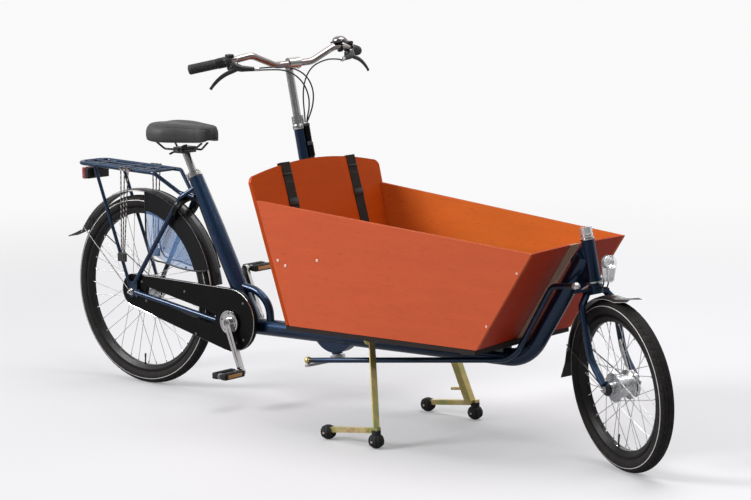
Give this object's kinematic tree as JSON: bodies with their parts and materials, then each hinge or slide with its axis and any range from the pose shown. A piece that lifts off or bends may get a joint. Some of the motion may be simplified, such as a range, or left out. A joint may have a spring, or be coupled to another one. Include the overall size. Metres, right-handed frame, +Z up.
{
  "type": "cargo bike",
  "caption": "Two-wheeled cargo bike with a wooden box between handlebar and small front wheel, rod steering, bench, rear carrier and double-leg stand.",
  "frame": {"origin": "where the rear tyre stands on the floor, in the bike's middle plane", "axes": "+X forward towards the front wheel, +Y towards the rider's left, +Z up"},
  "size_m": [2.5769, 0.6431, 1.2119],
  "materials": {
    "frame_paint": "metallic midnight blue, glossy",
    "steel": "bright steel",
    "silver": "polished aluminium",
    "chrome": "polished chrome",
    "box_wood": "orange-red varnished plywood",
    "strip_wood": "pale varnished wood",
    "floor_wood": "dark coated plywood",
    "webbing": "black woven webbing",
    "black_steel": "black powder coat",
    "saddle_cover": "black grained cover",
    "band_rubber": "black with white fleck",
    "lamp_plastic": "glossy black with lens",
    "guard_plastic": "clear pale blue sheet with black edge",
    "case_plastic": "satin black",
    "flap_rubber": "matt black",
    "grip_rubber": "matt black, ribbed",
    "cable_cover": "black sheath",
    "tyre": "black with thin pale stripe",
    "rim_black": "black anodised",
    "pedal_plastic": "black with amber reflectors",
    "zinc": "yellow zinc plate"
  },
  "bodies": {
    "frame": {"seat_tube": "frame_paint", "main_tube": "frame_paint", "column_tube": "frame_paint", "head_tube": "frame_paint", "chain_stays": "frame_paint", "seat_stays": "frame_paint", "rear_axle": "steel", "box_sides": "box_wood", "box_back": "box_wood", "box_front": "box_wood", "box_front_strip": "strip_wood", "box_floor": "floor_wood", "seat_straps": "webbing", "bench_brackets": "black_steel", "box_supports": "black_steel", "stand_bracket": "black_steel", "seat_post": "silver", "saddle": "saddle_cover", "saddle_rails": "black_steel", "carrier": "frame_paint", "carrier_struts": "frame_paint", "carrier_bands": "band_rubber", "rear_light": "lamp_plastic", "rear_fender": "chrome", "rear_flap": "flap_rubber", "coat_guards": "guard_plastic", "chain_case": "case_plastic", "ring_lock": "case_plastic", "cable_guide": "case_plastic", "rear_brake": "silver"},
    "steering": {"column": "steel", "stem": "silver", "handlebar": "silver", "grips": "grip_rubber", "brake_levers": "case_plastic", "bell": "chrome", "cables": "cable_cover"},
    "rod": {"steering_rod": "frame_paint"},
    "fork": {"fork": "frame_paint", "front_axle": "steel", "headset_cap": "silver", "headlight": "lamp_plastic", "front_fender": "chrome", "front_flap": "flap_rubber", "front_brake": "silver"},
    "front_wheel": {"front_tyre": "tyre", "front_rim": "rim_black", "front_hub": "silver", "front_spokes": "steel"},
    "rear_wheel": {"rear_tyre": "tyre", "rear_rim": "rim_black", "rear_hub": "silver", "rear_spokes": "steel"},
    "cranks": {"crankset": "silver"},
    "pedal_right": {"pedal_right": "pedal_plastic"},
    "pedal_left": {"pedal_left": "pedal_plastic"},
    "stand": {"stand": "zinc", "stand_feet": "flap_rubber"},
    "bench": {"bench": "box_wood"}
  },
  "joints": [
    {"name": "steering_turn", "type": "hinge", "parent": "frame", "child": "steering", "pos_m": [0.793, 0, 0.6], "axis": [-0.2079, 0, 0.9781], "range_deg": [-12, 42]},
    {"name": "fork_turn", "type": "hinge", "parent": "frame", "child": "fork", "pos_m": [1.855, 0, 0.6], "axis": [-0.2079, 0, 0.9781], "range_deg": [-19.2, 67.2]},
    {"name": "rod_swivel", "type": "hinge", "parent": "steering", "child": "rod", "pos_m": [0.83551, -0.09497, 0.19613], "axis": [-0.2079, 0, 0.9781], "range_deg": [-42, 12]},
    {"name": "front_wheel_spin", "type": "hinge", "parent": "fork", "child": "front_wheel", "pos_m": [1.97551, -0.02065, 0.25207], "axis": [0.4041, 0.9107, 0.0859], "continuous": true},
    {"name": "rear_wheel_spin", "type": "hinge", "parent": "frame", "child": "rear_wheel", "pos_m": [0, 0, 0.327], "axis": [0, 1, 0], "continuous": true},
    {"name": "crank_spin", "type": "hinge", "parent": "frame", "child": "cranks", "pos_m": [0.463, 0, 0.272], "axis": [0, 1, 0], "continuous": true},
    {"name": "pedal_right_spin", "type": "hinge", "parent": "cranks", "child": "pedal_right", "pos_m": [0.53267, -0.15, 0.11913], "axis": [0, 1, 0], "continuous": true},
    {"name": "pedal_left_spin", "type": "hinge", "parent": "cranks", "child": "pedal_left", "pos_m": [0.39333, 0.15, 0.42487], "axis": [0, 1, 0], "continuous": true},
    {"name": "stand_fold", "type": "hinge", "parent": "frame", "child": "stand", "pos_m": [1.165, 0, 0.313], "axis": [0, 1, 0], "range_deg": [0, 65]},
    {"name": "bench_lift", "type": "hinge", "parent": "frame", "child": "bench", "pos_m": [0.89279, 0, 0.551], "axis": [0, -1, 0], "range_deg": [0, 98]}
  ],
  "couplings": [
    {"joint": "fork_turn", "follows": "steering_turn", "ratio": 1.6},
    {"joint": "rod_swivel", "follows": "steering_turn", "ratio": -0.974}
  ]
}
